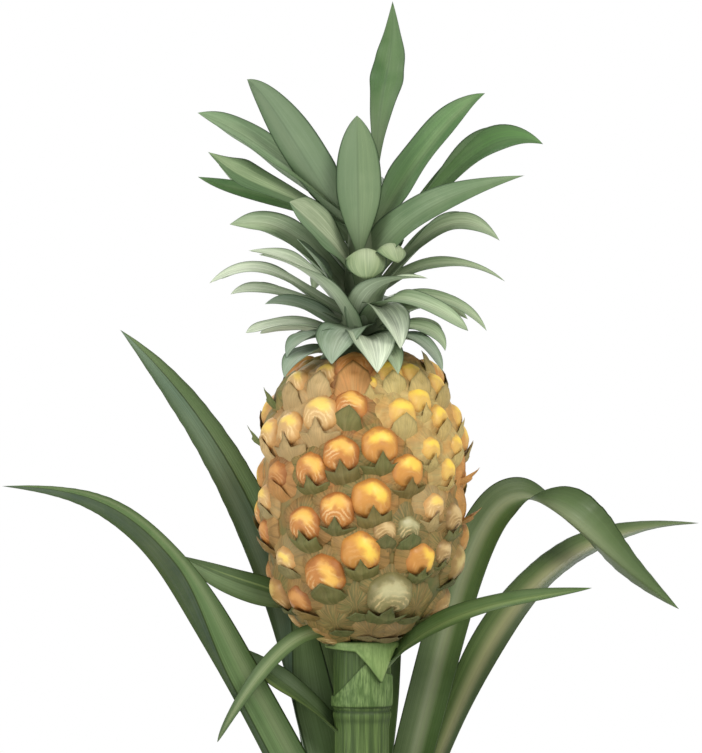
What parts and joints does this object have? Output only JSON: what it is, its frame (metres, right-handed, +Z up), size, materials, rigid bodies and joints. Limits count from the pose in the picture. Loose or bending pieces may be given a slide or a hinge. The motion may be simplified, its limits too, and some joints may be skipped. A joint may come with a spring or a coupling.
{
  "type": "pineapple plant",
  "caption": "Pineapple plant in fruit: a knobbly orange fruit on a green stalk, with a leafy crown, rising from long arching leaves.",
  "frame": {"origin": "middle of the flat cut under the main stem, at ground level", "axes": "+Z up along the stem and the fruit; -Y is the front; +X is to the right as seen from the front"},
  "size_m": [0.4271, 0.4217, 0.601],
  "materials": {
    "foliage": "satin",
    "crown_foliage": "satin",
    "stalk": "satin",
    "stem": "matte",
    "fruit": "satin"
  },
  "bodies": {
    "root": {"stem": "stem", "peduncle": "stalk", "peduncle_sheath": "stalk", "fruit_collar": "stalk", "fruit": "fruit", "crown": "crown_foliage", "leaf_under_fruit_left": "foliage", "leaf_under_fruit_right": "foliage", "leaf_curled_down": "foliage", "leaf_short_left": "foliage", "leaf_arching_right_foot": "foliage", "leaf_arching_right_end": "foliage", "leaf_right": "foliage", "leaf_left": "foliage", "leaf_tall_left": "foliage", "leaf_broad_left": "foliage", "leaf_back_right": "foliage", "leaf_back_left": "foliage", "leaf_low_01": "foliage", "leaf_low_02": "foliage", "leaf_low_03": "foliage", "leaf_low_04": "foliage", "leaf_low_05": "foliage", "leaf_low_06": "foliage", "leaf_low_07": "foliage", "leaf_low_08": "foliage", "leaf_low_09": "foliage", "leaf_low_10": "foliage", "leaf_low_11": "foliage", "leaf_low_12": "foliage", "leaf_low_13": "foliage", "leaf_low_14": "foliage"}
  },
  "joints": []
}
